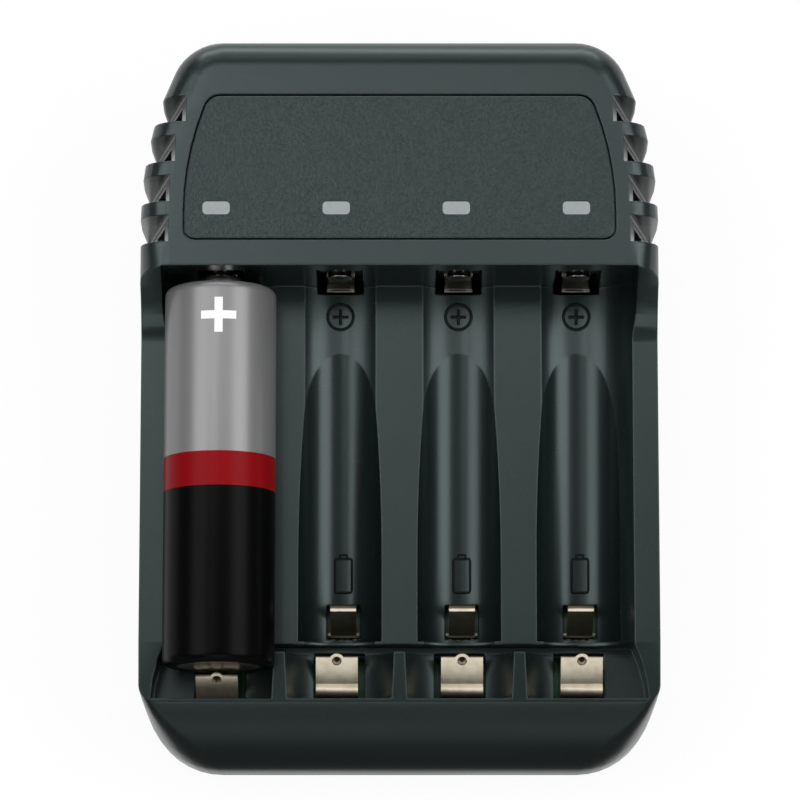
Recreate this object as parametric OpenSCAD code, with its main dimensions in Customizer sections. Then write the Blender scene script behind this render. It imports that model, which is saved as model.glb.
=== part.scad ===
// Charger for four AA or AAA cells, lying on its back with one AA cell in its first bay.
// X runs across the bays, Y from the tail to the head, Z up from the table. Millimetres.

/* [Cells] */
// Length of an AA cell, button included
cell_length = 50; // [49:0.1:51]
// Diameter of an AA cell
cell_diameter = 14.2; // [13.5:0.1:14.5]
// Room around an AA cell in its trough
cell_room = 0.3; // [0.2:0.05:0.5]
// Diameter of an AA cell's button
button_diameter = 5.4; // [4.2:0.1:5.5]
// Height of an AA cell's button
button_height = 1.5; // [1:0.1:2]
// Diameter of the trough for an AAA cell
thin_trough_diameter = 10.6; // [10.5:0.1:11.5]
// Fall of an AAA cell towards the tail, in degrees
thin_slope = 8; // [7:0.1:9]

/* [Case] */
// Overall length, tail to head
length = 91.6; // [84:0.2:104]
// Distance between bay centres
bay_pitch = 15.2; // [15:0.1:18]
// Width of each side rail at its top
rail_width = 3.25; // [2.8:0.05:5]
// Height of the head
head_height = 27.5; // [26:0.25:32]
// Height of the side rails
rail_height = 18; // [17:0.25:19.5]
// Height of the ribs between bays
rib_height = 14.7; // [14:0.1:16.5]
// Height of the floor of the AA troughs
trough_floor = 13.1; // [12.5:0.1:14]
// Rounding of the head's top edge
head_round = 3.8; // [2:0.1:4.5]
// Rounding of the tail's corners, seen from above
tail_round = 9.6; // [8.6:0.1:12]
// Depth of the tail, from its end to the bays
tail_depth = 8; // [7.2:0.1:9]
// Thickness of the floor under the bays
floor_wall = 1.5; // [1:0.1:1.8]
// Thickness of the side and end walls
side_wall = 2.4; // [2:0.1:2.8]
// Thickness of the head's roof
roof_wall = 2.3; // [1.8:0.1:3]
// Thickness of the back cover
cover_wall = 2; // [1.8:0.1:2.4]

/* [Indicator panel] */
// Inset of the panel from the sides
panel_inset = 5.85; // [5:0.05:8]
// Thickness of the panel
panel_thickness = 1; // [0.6:0.05:1.4]
// Groove around the panel
panel_groove = 0.25; // [0.1:0.05:0.5]
// Width of a light window
light_width = 3.45; // [2.5:0.05:5]
// Height of a light window
light_height = 1.65; // [1.4:0.05:2]
// Sideways offset of the light windows from the bays
light_shift = -0.4; // [-1:0.1:1]

/* [Vents] */
// Width of a vent notch
vent_width = 3.4; // [2.4:0.1:4]
// Distance between vent notches
vent_pitch = 5.2; // [4.8:0.05:5.6]
// Width of the slit in a vent notch
slit_width = 1.8; // [1:0.1:2.2]

/* [Contacts] */
// Thickness of the spring strip
strip = 0.4; // [0.3:0.05:0.5]
// Width of an AA spring leaf
leaf_width = 5.35; // [4.5:0.05:6]
// Width of an AAA spring leaf
thin_leaf_width = 3.3; // [2.6:0.05:4]
// Radius of the roll at the foot of an AA spring leaf's plate
roll_r = 0.6; // [0.5:0.05:0.8]
// Outward offset of an AA spring leaf from its bay
leaf_shift = 0.35; // [0:0.05:0.6]
// Sideways offset of an AAA spring leaf from its bay
thin_leaf_shift = 0.4; // [-0.6:0.1:0.6]
// Radius of the dimple on an AA spring leaf
dimple_r = 1; // [0.7:0.05:1.3]
// Width of a positive contact
plate_width = 5.2; // [4:0.1:6]

/* [Board] */
// Thickness of the circuit board
board_thickness = 1.6; // [1.2:0.1:1.6]
// Height of the circuit board's upper face
board_top = 5; // [4.6:0.1:5.4]

/* [Screws] */
// Diameter of a case screw's shank
screw_diameter = 2.5; // [2:0.1:3]
// Diameter of a case screw's head
screw_head = 4.6; // [4:0.1:5.2]

/* [Hidden] */
$fn = 48;
clear = 0.25;
over = 1;
far = 60;

// Bays and cells
trough_r = cell_diameter / 2 + cell_room;
axis_z = trough_floor + trough_r;
bays = [for (i = [0:3]) (i - 1.5) * bay_pitch];
outer_bay = 1.5 * bay_pitch;
trough_edge = sqrt(pow(trough_r, 2) - pow(axis_z - rail_height, 2));
half_width = outer_bay + trough_edge + rail_width;
leaf_room = 3.55;
cell_y = tail_depth + leaf_room;
contact_y = cell_y + cell_length;
boss_proud = 0.2;
head_y = contact_y + boss_proud;
cell_rest = 0.03;
cell_z = trough_floor + cell_diameter / 2 + cell_rest;
cell_edge = 1.1;
thin_r = thin_trough_diameter / 2;
thin_drop = 0.86;
thin_z = axis_z - thin_drop;
thin_end = tail_depth + 7.6;
rib_end = tail_depth + 7.1;
stub_start = tail_depth + 5.85;
gap_floor = rib_height - 3.2;
bay_roof = rib_height - 2.4;

// Outline of the case, seen from above
side_r = 44;
corner_r = 7;
corner_steps = 10;
side_y = head_y + 7;
side_turn = asin((length - corner_r - side_y) / (side_r - corner_r));
corner_x = half_width - side_r + (side_r - corner_r) * cos(side_turn);

// Nose of the tail and cove of the head, as shares of their depth and height
nose = [[0, 0], [0.03, 0.16], [0.16, 0.355], [0.39, 0.59], [0.69, 0.843], [1, 1]];
nose_z = 4.5;
chin_z = rail_height - 0.8;
chin_y = tail_depth - 0.2;
cove = [[0, 0], [0.1, 0.011], [0.25, 0.053], [0.41, 0.147],
  [0.59, 0.305], [0.75, 0.505], [0.89, 0.737], [1, 1]];
cove_depth = 8;
draft = 0.035;
head_inset = 0.1;

// Hollow, back cover, posts and screws
roof_z = head_height - roof_wall;
head_hollow = head_y + 3;
head_hollow_inset = 5.2;
nose_wall = 2;
cover_gap = 0.15;
cover_round = 0.9;
lip = 1.2;
post_x = bay_pitch;
tail_post = 17.4;
head_post = 13;
posts_y = [tail_depth + tail_post, length - head_post];
pin_r = screw_diameter / 2 + 0.95;
post_r = pin_r + 1;
pad_r = screw_head / 2 + 1.7;
pad_top = board_top - board_thickness - 0.2;
screw_head_height = 1.3;
counterbore = screw_head_height + 0.3;
screw_grip = 4;
drive_size = [2.4, 0.6, 0.7];

// Circuit board and its parts
board_gap = 0.4;
board_half = half_width - head_hollow_inset;
board_start = tail_depth - 4;
board_end = length - 9;
tongue_margin = 3.8;
tongue_half = post_x + tongue_margin;
tongue_end = length - 2.6;
inlet_width = 8.94;
inlet_height = 3.2;
inlet_depth = 7.3;
inlet_wall = 0.3;
inlet_end = length - draft * rail_height - 0.1;
inlet_z = board_top + inlet_height / 2;
tongue_size = [6.6, 5.3, 0.7];
chip_size = [10, 6, 1.6];
chip_y = inlet_end - inlet_depth - 2.8 - chip_size[1];
coil_diameter = 7;
coil_height = 5;
coil_place = 11;
coil_y = contact_y - coil_place;
can_diameter = 6;
can_height = bay_roof - board_top - 0.6;
can_place = 6;
can_pitch = 7.5;
cans_y = [contact_y - can_place, contact_y - can_place - can_pitch];

// AA spring leaves
leaf_y = tail_depth + 0.9;
foot_z = board_top - board_thickness / 2;
roll_z = trough_floor + 0.3;
roll_turn = 60;
roll_end = [leaf_y + roll_r, roll_z] + roll_r * [cos(roll_turn), sin(roll_turn)];
crease = roll_end + 0.5 * [sin(roll_turn), -cos(roll_turn)];
leaf_tip = [cell_y + 1.95, trough_floor + 2.4];
leaf_lean = (leaf_tip - crease) / norm(leaf_tip - crease);
dimple = leaf_tip - 0.5 * leaf_lean + strip / 2 * [-leaf_lean[1], leaf_lean[0]];
dimple_arm = dimple - [leaf_y, board_top];
press_gap = 0.07;
pressed_y = cell_y - press_gap - dimple_r - leaf_y;
pressed_turn = acos(pressed_y / norm(dimple_arm)) - atan2(dimple_arm[1], dimple_arm[0]);
slot_room = 0.3;
leaf_notch = 0.6;
leaf_travel = 1.7;

// AAA spring leaves
thin_leaf_y = thin_end + 1.9;
thin_leaf_reach = 2.9;
thin_leaf_drop = 1.6;
thin_leaf_tip = [thin_leaf_y + thin_leaf_reach, trough_floor - thin_leaf_drop];
thin_window = [thin_end + 1, thin_end + 5.4];
thin_shoulder = 0.4;

// Positive contacts
window_half = plate_width / 2 + 0.35;
plate_y = contact_y + 0.9;
plate_top = axis_z + 3.4;
plate_step = board_top + 3.5;
boss_r = 1.5;
boss_dent = 1.1;

// Panel, lights and vents
panel_start = head_y + 3.5;
panel_end = length - 7.9;
panel_corner = 1.25;
panel_head_corner = 2;
panel_floor = head_height - panel_thickness;
lights = [for (x = bays) x + light_shift];
light_y = head_y + 7.4;
light_corner = 0.5;
led_top = board_top + 1.1;
vent_offset = 4.8;
vent_start = head_y + vent_offset;
vent_depth = 3.8;
vent_deep = half_width - vent_depth;
vent_shallow = half_width - 0.4;
vent_bottom = 9;

// Points along an arc
function arc(x, y, r, from, to, steps) =
  [for (i = [0:steps]) let (a = from + (to - from) * i / steps) [x + r * cos(a), y + r * sin(a)]];

// Right half of the case outline, inset on all sides, with its tail end at a given Y
function half_outline(inset, tail_y, least) =
  let (r = max(tail_round - tail_y, least))
  concat(
    arc(half_width - inset - r, tail_y + r, r, -90, 0, corner_steps),
    arc(half_width - side_r, side_y, side_r - inset, 0, side_turn, 5),
    arc(corner_x, length - corner_r, corner_r - inset, side_turn, 90, 8));

// Closed outline from its right half
function both_halves(h) = concat(h, [for (i = [len(h) - 1:-1:0]) [-h[i][0], h[i][1]]]);

// Whole case outline
function outline(inset, tail_y, least = 1.4) = both_halves(half_outline(inset, tail_y, least));

// The outline lifted to a height
function ring(z, inset, tail_y) = [for (p = outline(inset, tail_y)) [p[0], p[1], z]];

// Taper of the sides towards the back
function taper(z) = draft * max(rail_height - z, 0);

// How far the head's side has curved inwards at a given Y
function side_in(y) = side_r - sqrt(pow(side_r, 2) - pow(max(y - side_y, 0), 2));

// Rounded rectangle about the origin
function rounded(w, h, r) = concat(
  arc(w / 2 - r, h / 2 - r, r, 0, 90, 5),
  arc(r - w / 2, h / 2 - r, r, 90, 180, 5),
  arc(r - w / 2, r - h / 2, r, 180, 270, 5),
  arc(w / 2 - r, r - h / 2, r, 270, 360, 5));

// Direction of a vector
function unit(v) = v / norm(v);

// Side offset of a bent strip at one of its points
function side(p, i) =
  let (a = unit(i == 0 ? p[1] - p[0] : p[i] - p[i - 1]))
  let (b = i == len(p) - 1 ? a : unit(p[i + 1] - p[i]))
  let (m = unit(a + b))
  [-m[1], m[0]] / (m * a);

// Outline of a bent strip along a path
function bent(p) = concat(
  [for (i = [0:len(p) - 1]) p[i] + strip / 2 * side(p, i)],
  [for (i = [len(p) - 1:-1:0]) p[i] - strip / 2 * side(p, i)]);

// Middle of an AA spring leaf, seen from above, beside its bay's middle
function leaf_x(x) = x + sign(x) * leaf_shift;

// Moves the part so that its origin lies under its middle
module centred() {
  translate([0, -length / 2, 0])
    children();
}

// Turns a profile drawn in Y and Z into a bar across X
module across(width) {
  translate([-width / 2, 0, 0])
    rotate([90, 0, 90])
      linear_extrude(width)
        children();
}

// Turns a profile drawn in X and Z into a bar along Y
module along(from, to) {
  translate([0, to, 0])
    rotate([90, 0, 0])
      linear_extrude(to - from)
        children();
}

// A box between two corners
module block(a, b) {
  translate(a)
    cube(b - a);
}

// Solid through a stack of rings
module stacked(rings) {
  points = [for (r = rings) each r];
  count = len(rings[0]);
  hull()
    polyhedron(points, [for (i = [0:len(rings) - 1]) [for (j = [0:count - 1]) i * count + j]]);
}

// Solid block of the case, filled over the rails
module case_block() {
  low = [ring(cover_wall, taper(cover_wall), 0)];
  mid = [for (p = nose) let (z = nose_z + p[1] * (chin_z - nose_z)) ring(z, taper(z), p[0] * chin_y)];
  rail = [ring(rail_height + 0.2, 0, chin_y + 0.8)];
  head = [for (a = [0:15:90])
    ring(head_height - head_round + head_round * sin(a),
      head_inset + head_round * (1 - cos(a)), head_y - 11)];
  stacked(concat(low, mid, rail, head));
}

// Space over the tail, the rails and the cove up to the head
module over_rails() {
  slope = (rail_height - chin_z) / (rib_end - chin_y);
  cove_y = head_y - cove_depth - 0.05;
  cove_rise = head_height - rail_height;
  across(2 * half_width + 4 * over)
    polygon(concat(
      [[-over, far], [-over, chin_z - slope * (chin_y + over)], [rib_end, rail_height]],
      [for (p = cove) [cove_y + p[0] * cove_depth, rail_height + p[1] * cove_rise]],
      [[head_y + 0.3, head_height + over], [head_y + 0.3, far]]));
}

// Half-round trough profile, open upwards
module trough_profile(r) {
  intersection() {
    circle(r);
    translate([-2 * r, -2 * r])
      square([4 * r, 2 * r]);
  }
  translate([-r, 0])
    square([2 * r, far]);
}

// Places a bar along the sloping axis of an AAA cell
module thin_axis() {
  translate([0, contact_y, thin_z])
    rotate([thin_slope, 0, 0])
      children();
}

// Space of one bay: an AA trough with an AAA trough sunk in it
module bay() {
  translate([0, 0, axis_z])
    along(tail_depth, head_y)
      trough_profile(trough_r);
  intersection() {
    thin_axis()
      along(-far, 0)
        trough_profile(thin_r);
    block([-trough_r, thin_end, 0], [trough_r, head_y, far]);
  }
}

// Eight-sided bar outside a round one, for the plain inner side of a floor
module eight_sided(r) {
  polygon([for (a = [22.5:45:337.5]) r / cos(22.5) * [cos(a), sin(a)]]);
}

// Floors kept under the bays
module bay_floors() {
  block([-far, -over, bay_roof], [far, head_hollow, far]);
  block([-far, -over, gap_floor - floor_wall], [far, rib_end + floor_wall, far]);
  for (x = bays)
    translate([x, 0, 0]) {
      translate([0, 0, axis_z])
        along(0, head_y + floor_wall)
          eight_sided(trough_r + floor_wall);
      intersection() {
        thin_axis()
          along(-far, -over)
            eight_sided(thin_r + floor_wall);
        block([-trough_r, thin_end - floor_wall, 0], [trough_r, head_y, far]);
      }
    }
}

// Puts a copy at each screw
module at_screws() {
  for (x = [-post_x, post_x], y = posts_y)
    translate([x, y, 0])
      children();
}

// Posts that carry the circuit board and take the screws
module posts() {
  at_screws() {
    translate([0, 0, board_top])
      cylinder(r = post_r, h = far);
    translate([0, 0, pad_top])
      cylinder(r = pin_r, h = far);
  }
}

// Hollow of the case
module hollow() {
  nose_top = nose_z + 2.5;
  difference() {
    union() {
      translate([0, 0, cover_wall - over])
        linear_extrude(nose_top - cover_wall + over)
          polygon(outline(side_wall, nose_wall));
      translate([0, 0, nose_z])
        linear_extrude(bay_roof + clear - nose_z)
          polygon(outline(side_wall, tail_depth - nose_wall));
      translate([0, 0, bay_roof])
        linear_extrude(roof_z - bay_roof)
          polygon(outline(head_hollow_inset, head_hollow));
    }
    bay_floors();
    posts();
  }
}

// Vent notches down both shoulders, each with a slit into the head
module vents() {
  for (m = [0, 1], i = [0:3]) {
    y = vent_start + i * vent_pitch;
    mirror([m, 0, 0])
      translate([-side_in(y), y, 0]) {
        along(-vent_width / 2, vent_width / 2)
          polygon([[vent_deep, head_height + over], [vent_deep, head_height - 0.6],
            [vent_shallow, vent_bottom], [far, vent_bottom], [far, head_height + over]]);
        block([half_width - head_hollow_inset - 3.5, -slit_width / 2, bay_roof + 4.5],
          [half_width, slit_width / 2, head_height - 4]);
      }
  }
}

// Flare of an outer bay at its tail end
module flares() {
  for (m = [0, 1])
    mirror([m, 0, 0])
      translate([0, 0, gap_floor])
        linear_extrude(far)
          polygon([[outer_bay, tail_depth], [half_width - 1.5, tail_depth],
            [half_width - 1.8, tail_depth + 2.4], [half_width - 2.5, tail_depth + 5],
            [outer_bay + trough_edge - 0.1, rib_end], [outer_bay, rib_end]]);
}

// Openings of one bay for its contacts, with a notch beside the AA leaf, towards the middle of the case
module contact_windows(outward) {
  low = nose_z + 5;
  half = leaf_width / 2 + clear;
  thin_half = thin_leaf_width / 2 + 0.5;
  translate([outward * leaf_shift, 0, 0]) {
    block([-half, tail_depth - leaf_travel, low], [half, tail_depth + 0.2, roll_z + 1.2]);
    block([-half - max(outward, 0) * leaf_notch, tail_depth - 0.1, low],
      [half - min(outward, 0) * leaf_notch, tail_depth + 6.4, rib_height + over]);
  }
  translate([thin_leaf_shift, 0, 0])
    block([-thin_half, thin_window[0], board_top + 0.5], [thin_half, thin_window[1], trough_floor - 2]);
  block([-window_half, contact_y - 0.7, board_top + 2], [window_half, head_y + 1.4, plate_top + 0.4]);
}

// Profile of a light window
module light_profile() {
  polygon(rounded(light_width, light_height, light_corner));
}

// Outline of the indicator panel, or of its seat when grown
module panel_profile(grow) {
  edge = half_width - panel_inset + grow;
  tail_r = panel_corner + grow;
  head_r = panel_head_corner + grow;
  bow = side_r - panel_inset + grow - head_r;
  head_corner = panel_end - panel_head_corner;
  turn = asin((head_corner - side_y) / bow);
  polygon(both_halves(concat(
    arc(edge - tail_r, panel_start + panel_corner, tail_r, -90, 0, 5),
    arc(half_width - side_r, side_y, bow + head_r, 0, turn, 5),
    arc(half_width - side_r + bow * cos(turn), head_corner, head_r, turn, 90, 5))));
}

// Power inlet profile, grown for its hole
module inlet_profile(grow) {
  polygon(rounded(inlet_width + 2 * grow, inlet_height + 2 * grow, inlet_height / 2 - 0.3 + grow));
}

module top_housing() {
  color([0.13, 0.15, 0.15])
    centred()
      difference() {
        case_block();
        over_rails();
        hollow();
        block([-outer_bay, rib_end, rib_height], [outer_bay, head_y, far]);
        block([-outer_bay, stub_start, gap_floor], [outer_bay, rib_end + over / 10, far]);
        flares();
        for (x = bays)
          translate([x, 0, 0]) {
            bay();
            contact_windows(sign(x));
          }
        for (x = lights)
          translate([x, light_y, roof_z - over])
            linear_extrude(far)
              light_profile();
        vents();
        translate([0, 0, panel_floor])
          linear_extrude(far)
            panel_profile(panel_groove);
        translate([0, 0, inlet_z])
          along(length - side_wall - over, length + over)
            inlet_profile(0.2);
        at_screws()
          cylinder(d = screw_diameter, h = board_top + screw_grip + over);
      }
}

module back_cover() {
  edge = concat([for (a = [0:22.5:90]) cover_round * [1 - cos(a), 1 - sin(a)]], [[cover_wall, 0]]);
  seat = side_wall + cover_gap;
  nose_seat = nose_wall + cover_gap;
  color([0.11, 0.13, 0.13])
    centred()
      difference() {
        union() {
          stacked([for (p = edge) ring(p[0], taper(p[0]) + p[1], p[1])]);
          translate([0, 0, cover_wall - over / 2])
            linear_extrude(pad_top - cover_wall + over / 2)
              difference() {
                polygon(outline(seat, nose_seat));
                polygon(outline(seat + lip, nose_seat + lip));
              }
          at_screws()
            translate([0, 0, cover_wall - over / 2])
              cylinder(r = pad_r, h = pad_top - cover_wall + over / 2);
        }
        at_screws()
          translate([0, 0, -over]) {
            cylinder(d = screw_diameter + 0.4, h = 2 * pad_top);
            cylinder(d = screw_head + 0.5, h = counterbore + over);
          }
      }
}

module indicator_panel() {
  color([0.2, 0.23, 0.23])
    centred()
      translate([0, 0, panel_floor])
        linear_extrude(panel_thickness)
          difference() {
            panel_profile(0);
            for (x = lights)
              translate([x, light_y])
                light_profile();
          }
}

module light_window(i) {
  color([0.85, 0.88, 0.88])
    centred()
      translate([lights[i], light_y, led_top + over])
        linear_extrude(head_height - led_top - over)
          light_profile();
}

module led(i) {
  color([0.92, 0.9, 0.8])
    centred()
      translate([lights[i] - light_width / 2, light_y - light_height / 2, board_top])
        cube([light_width, light_height, led_top - board_top]);
}

// Slot through the board for a strip of a given width
module board_slot(width) {
  square([width + 2 * clear, strip + 2 * slot_room], center = true);
}

module circuit_board() {
  color([0.05, 0.36, 0.2])
    centred()
      translate([0, 0, board_top - board_thickness])
        linear_extrude(board_thickness)
          difference() {
            intersection() {
              polygon(outline(side_wall + board_gap, board_start));
              union() {
                translate([-board_half, board_start])
                  square([2 * board_half, board_end - board_start]);
                translate([-tongue_half, board_end - over])
                  square([2 * tongue_half, tongue_end - board_end + over]);
              }
            }
            at_screws()
              circle(pin_r + clear);
            for (x = bays) {
              translate([leaf_x(x), leaf_y])
                board_slot(leaf_width);
              translate([x + thin_leaf_shift, thin_leaf_y])
                board_slot(thin_leaf_width);
              translate([x - plate_width / 4, plate_y])
                square([plate_width / 2, strip]);
            }
          }
}

// Clip with a raised boss for the cell's button, standing in the window of the head's wall
module positive_contact(i) {
  low = contact_y - 0.3;
  sill = trough_floor + 0.1;
  half = plate_width / 2;
  neck = 0.7 * half;
  waist = trough_floor + 1.3;
  boss_y = plate_y + strip / 2;
  color([0.72, 0.71, 0.67])
    centred()
      translate([bays[i], 0, 0]) {
        difference() {
          along(plate_y, plate_y + strip)
            polygon([[-half / 2, board_top - board_thickness], [half / 2, board_top - board_thickness],
              [half / 2, plate_step], [neck, plate_step], [neck, waist],
              [half, waist + 2], [half, plate_top], [-half, plate_top], [-half, waist + 2],
              [-neck, waist], [-neck, plate_step], [-half / 2, plate_step]]);
          translate([0, plate_y + strip + over, cell_z])
            rotate([90, 0, 0])
              cylinder(r = boss_dent, h = strip / 2 + over);
        }
        block([-neck, low, plate_step], [neck, boss_y, plate_step + strip]);
        block([-neck, low, plate_step], [neck, low + strip, sill]);
        translate([0, boss_y, cell_z])
          rotate([90, 0, 0])
            cylinder(r = boss_r, h = boss_y - contact_y);
      }
}

// Ball of a given radius on the face of an AA leaf's plate, cut off above a given height
module on_plate(r, top) {
  translate([0, dimple[0], dimple[1]])
    rotate([atan2(leaf_lean[1], leaf_lean[0]), 0, 0])
      rotate_extrude()
        intersection() {
          circle(r);
          translate([0, -2 * r])
            square([2 * r, 2 * r + top]);
        }
}

// Spring strip from the board up to a roll at the bay's end, with a dimpled plate towards the cell
module leaf() {
  roll = arc(leaf_y + roll_r, roll_z, roll_r, 180, roll_turn, 6);
  path = concat([[leaf_y, foot_z]], roll, [crease, leaf_tip]);
  difference() {
    union() {
      across(leaf_width)
        polygon(bent(path));
      on_plate(dimple_r, 0);
    }
    on_plate(dimple_r - strip, over);
  }
}

module aa_leaf(i) {
  color([0.8, 0.77, 0.7])
    centred()
      translate([leaf_x(bays[i]), leaf_y, board_top])
        rotate([i == 0 ? pressed_turn : 0, 0, 0])
          translate([0, -leaf_y, -board_top])
            leaf();
}

// Spring strip standing in the AAA trough's window, hooked back at its top, with shoulders over the board
module aaa_leaf(i) {
  knee = [[thin_leaf_y, board_top + 0.6], [thin_leaf_y + 0.15, board_top + 1.1]];
  hook = [[-0.12, -0.5], [0, 0], [-0.12, 0.35], [-0.35, 0.55], [-0.65, 0.58]];
  color([0.72, 0.7, 0.62])
    centred()
      translate([bays[i] + thin_leaf_shift, 0, 0]) {
        across(thin_leaf_width)
          polygon(bent(concat([[thin_leaf_y, foot_z]], knee, [for (p = hook) thin_leaf_tip + p])));
        across(thin_leaf_width + 2 * thin_shoulder)
          polygon(bent(concat([[thin_leaf_y, board_top + 0.15]], knee)));
      }
}

// Rounded metal shell with a contact tongue, facing out of the head
module power_inlet() {
  color([0.7, 0.7, 0.72])
    centred()
      translate([0, inlet_end - inlet_depth, inlet_z]) {
        difference() {
          along(0, inlet_depth)
            inlet_profile(0);
          along(over, inlet_depth + over)
            inlet_profile(-inlet_wall);
        }
        translate([-tongue_size[0] / 2, over / 2, -tongue_size[2] / 2])
          cube(tongue_size);
      }
}

module controller_chip() {
  color([0.06, 0.06, 0.06])
    centred()
      translate([-chip_size[0] / 2, chip_y, board_top])
        cube(chip_size);
}

module inductor() {
  color([0.2, 0.2, 0.21])
    centred()
      translate([-bay_pitch, coil_y, board_top])
        cylinder(d = coil_diameter, h = coil_height);
}

module capacitors() {
  color([0.55, 0.57, 0.6])
    centred()
      for (y = cans_y)
        translate([bay_pitch, y, board_top])
          cylinder(d = can_diameter, h = can_height);
}

module case_screws() {
  head_z = counterbore - screw_head_height;
  color([0.5, 0.5, 0.5])
    centred()
      at_screws()
        difference() {
          union() {
            translate([0, 0, head_z])
              cylinder(d = screw_head, h = screw_head_height);
            translate([0, 0, head_z])
              cylinder(d = screw_diameter, h = board_top + screw_grip - head_z);
          }
          for (a = [0, 90])
            rotate([0, 0, a])
              translate([-drive_size[0] / 2, -drive_size[1] / 2, 0])
                cube([drive_size[0], drive_size[1], head_z + drive_size[2]]);
        }
}

module aa_cell() {
  r = cell_diameter / 2;
  b = button_diameter / 2;
  shoulder = cell_length - button_height;
  edge = [for (a = [0:22.5:90]) cell_edge * [sin(a) - 1, 1 - cos(a)]];
  color([0.3, 0.31, 0.32])
    centred()
      translate([bays[0], cell_y, cell_z])
        rotate([-90, 0, 0])
          rotate_extrude()
            polygon(concat([[0, 0]], [for (p = edge) [r + p[0], p[1]]],
              [for (i = [len(edge) - 1:-1:0]) [r + edge[i][0], shoulder - edge[i][1]]],
              [[b, shoulder], [b, cell_length - clear], [b - clear, cell_length], [0, cell_length]]));
}

top_housing();
back_cover();
indicator_panel();
light_window(0);  // light_window_1
light_window(1);  // light_window_2
light_window(2);  // light_window_3
light_window(3);  // light_window_4
led(0);  // led_1
led(1);  // led_2
led(2);  // led_3
led(3);  // led_4
circuit_board();
positive_contact(0);  // positive_contact_1
positive_contact(1);  // positive_contact_2
positive_contact(2);  // positive_contact_3
positive_contact(3);  // positive_contact_4
aa_leaf(0);  // aa_leaf_1
aa_leaf(1);  // aa_leaf_2
aa_leaf(2);  // aa_leaf_3
aa_leaf(3);  // aa_leaf_4
aaa_leaf(0);  // aaa_leaf_1
aaa_leaf(1);  // aaa_leaf_2
aaa_leaf(2);  // aaa_leaf_3
aaa_leaf(3);  // aaa_leaf_4
power_inlet();
controller_chip();
inductor();
capacitors();
case_screws();
aa_cell();
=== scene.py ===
"""Charger for AA and AAA cells, lying on its back. Metres, +Z up, the tail towards -Y."""

import math

import bpy
from mathutils import Matrix, Vector, noise


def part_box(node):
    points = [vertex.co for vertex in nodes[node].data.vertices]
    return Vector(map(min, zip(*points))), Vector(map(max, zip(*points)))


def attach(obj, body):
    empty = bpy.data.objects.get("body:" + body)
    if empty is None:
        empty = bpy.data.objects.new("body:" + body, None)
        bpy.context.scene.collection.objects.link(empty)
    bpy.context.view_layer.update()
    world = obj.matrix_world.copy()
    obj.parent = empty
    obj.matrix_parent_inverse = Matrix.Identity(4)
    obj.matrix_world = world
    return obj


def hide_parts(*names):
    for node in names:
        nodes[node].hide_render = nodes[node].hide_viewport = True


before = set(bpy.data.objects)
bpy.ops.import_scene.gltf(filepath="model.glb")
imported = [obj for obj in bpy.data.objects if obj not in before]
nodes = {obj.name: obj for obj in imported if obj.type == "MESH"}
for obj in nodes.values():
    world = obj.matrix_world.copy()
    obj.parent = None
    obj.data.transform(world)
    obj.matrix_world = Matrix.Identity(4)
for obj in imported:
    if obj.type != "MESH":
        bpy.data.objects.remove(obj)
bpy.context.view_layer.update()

# Back cover
# A shallow tray of black ABS that closes the case from below. It is injection moulded
# in a spark-eroded tool and held by four screws.
MM = 0.001
WELD = 0.002 * MM
# An edge bent more than this stays sharp, and one along a curved face much sooner
SMOOTH_ANGLE = math.radians(32)
CREASE_ANGLE = math.radians(7)
# A face counts as curved when the mean of its triangles' normals is shorter than this
FLAT_LENGTH = 0.9995
# A welded seam is a crease when one of its two faces is curved, which makes their mean 0.5 or more
CREASE_SHARE = 0.4
# How strongly large faces rule the shading at their edges, from 1 to 100
FLAT_WEIGHT = 90
# Sparked grain is about 0.05 mm across, too fine to show, so it is drawn coarser here
GRAIN = 0.28 * MM
GRAIN_STRENGTH = 0.35
SPECK_RANGE = (0.36, 0.64)
# The melt's flow leaves wide, faint changes of gloss
FLOW = 14 * MM
FLOW_GLOSS = 0.05
EDGE_RADIUS = 0.3 * MM
EDGE_SAMPLES = 6
ABS_IOR = 1.54
# The gloss has a little less red than the light, which gives the black its green cast
ABS_GLOSS_TINT = (0.83, 1, 1, 1)


def linear(hex_colour):
    """An sRGB hex colour as linear red, green, blue and alpha."""
    parts = [int(hex_colour[i:i + 2], 16) / 255 for i in (1, 3, 5)]
    return [p / 12.92 if p <= 0.04045 else ((p + 0.055) / 1.055) ** 2.4 for p in parts] + [1]


def add_node(tree, kind, links=None, values=None, **settings):
    """Adds a node, sets it up, fills its sockets and links them."""
    node = tree.nodes.new(kind)
    for name, value in settings.items():
        setattr(node, name, value)
    for name, value in (values or {}).items():
        node.inputs[name].default_value = value
    for name, socket in (links or {}).items():
        tree.links.new(socket, node.inputs[name])
    return node


def start_material(name, colour, roughness, **sockets):
    """A new material, its node tree and its shader, with the values that are the same all over."""
    material = bpy.data.materials.new(name)
    material.use_nodes = True
    tree = material.node_tree
    shader = tree.nodes["Principled BSDF"]
    shader.inputs["Base Color"].default_value = linear(colour)
    shader.inputs["Roughness"].default_value = roughness
    for socket, value in sockets.items():
        shader.inputs[socket.replace("_", " ")].default_value = value
    return material, tree, shader


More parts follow.
